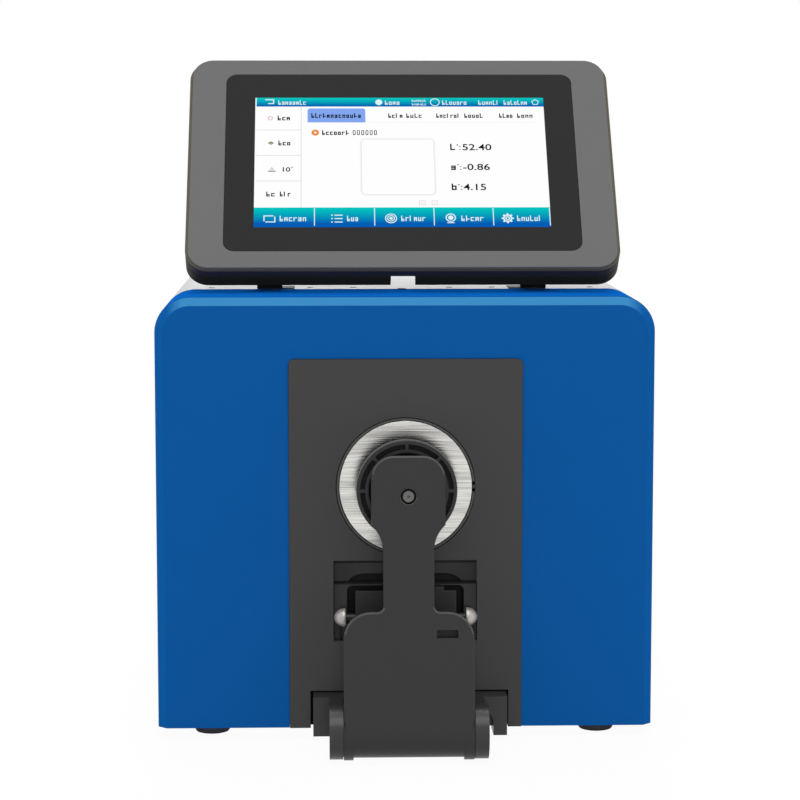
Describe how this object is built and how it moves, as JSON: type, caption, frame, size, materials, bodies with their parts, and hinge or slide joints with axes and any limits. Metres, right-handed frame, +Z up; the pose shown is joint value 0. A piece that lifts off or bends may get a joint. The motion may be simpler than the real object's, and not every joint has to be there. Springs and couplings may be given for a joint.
{
  "type": "benchtop spectrophotometer",
  "caption": "Benchtop sphere spectrophotometer with a front aperture, a sprung sample clamp that swings down, and a tilted touch display on top.",
  "frame": {"origin": "middle of the footprint, on the plane of the feet", "axes": "+X to the instrument's right as the user sees it, +Y from the front to the back, +Z up; the aperture, clamp and display face -Y"},
  "size_m": [0.252, 0.4062, 0.3451],
  "materials": {
    "blue_shell": "satin blue moulding",
    "grey_shell": "satin light grey painted sheet",
    "black_plate": "fine matt black paint",
    "black_arm": "satin black paint",
    "rubber": "matt black rubber",
    "brushed_ring": "straight brushed metal",
    "chrome": "polished",
    "steel": "turned steel",
    "display_grey": "satin mid grey",
    "display_dark": "dark grey moulding",
    "display_shell": "very dark blue-black moulding",
    "display_black": "black moulding",
    "display_glass": "smooth cover glass, printed dark behind",
    "picture": "lit picture panel",
    "sphere_white": "white diffuse coating",
    "board_green": "circuit board",
    "sheet": "zinc plated sheet"
  },
  "bodies": {
    "casing": {"front_bezel": "blue_shell", "rear_housing": "grey_shell", "base_plate": "sheet", "front_bulkhead": "sheet", "back_panel": "grey_shell", "foot_front_left": "rubber", "foot_front_right": "rubber", "foot_rear_left": "rubber", "foot_rear_right": "rubber", "top_screw_1": "steel", "top_screw_2": "steel", "top_screw_3": "steel", "top_screw_4": "steel", "top_screw_5": "steel", "top_screw_6": "steel", "aperture_plate": "black_plate", "aperture_seat": "black_plate", "target_mask": "brushed_ring", "recess_tray": "black_plate", "guide_frame": "black_plate", "guide_block": "black_arm", "cross_pin": "black_arm", "pin_head_left": "chrome", "pin_head_right": "chrome", "hinge_base": "black_plate", "hinge_axle": "steel", "closing_spring": "steel", "base_screw": "steel", "display_leg_left": "display_black", "display_leg_right": "display_black", "display_pin_left": "steel", "display_pin_right": "steel", "sphere_front_half": "sphere_white", "sphere_rear_half": "sphere_white", "sphere_cradle": "sheet", "lamp_module": "sheet", "spectrometer_module": "black_plate", "main_board": "board_green", "power_supply": "sheet", "power_inlet": "display_black", "switch_frame": "display_black", "usb_host_port": "steel", "usb_device_port": "steel", "serial_port": "steel"},
    "arm": {"clamp_arm": "black_arm", "arm_cover": "black_plate", "arm_screw": "steel"},
    "pad": {"pad_carrier": "black_arm", "pad_cushion": "rubber", "pad_ball": "steel"},
    "display": {"display_panel": "display_grey", "display_frame": "display_dark", "display_glass": "display_glass", "display_picture": "picture", "display_shell": "display_shell", "stand_plate": "display_black"},
    "rocker": {"power_rocker": "display_black"}
  },
  "joints": [
    {"name": "clamp_hinge", "type": "hinge", "parent": "casing", "child": "arm", "pos_m": [0, -0.1897, 0.015], "axis": [1, 0, 0], "range_deg": [0, 80], "stiffness_Nm_per_rad": 0.6, "springref_deg": -28.65},
    {"name": "pad_swivel", "type": "hinge", "parent": "arm", "child": "pad", "pos_m": [0, -0.1715, 0.13], "axis": [1, 0, 0], "range_deg": [-3, 3]},
    {"name": "display_tilt", "type": "hinge", "parent": "casing", "child": "display", "pos_m": [0, -0.0757, 0.246], "axis": [-1, 0, 0], "range_deg": [0, 25]},
    {"name": "power_switch", "type": "hinge", "parent": "casing", "child": "rocker", "pos_m": [0.084, 0.1957, 0.084], "axis": [0, 0, -1], "range_deg": [0, 16]}
  ]
}
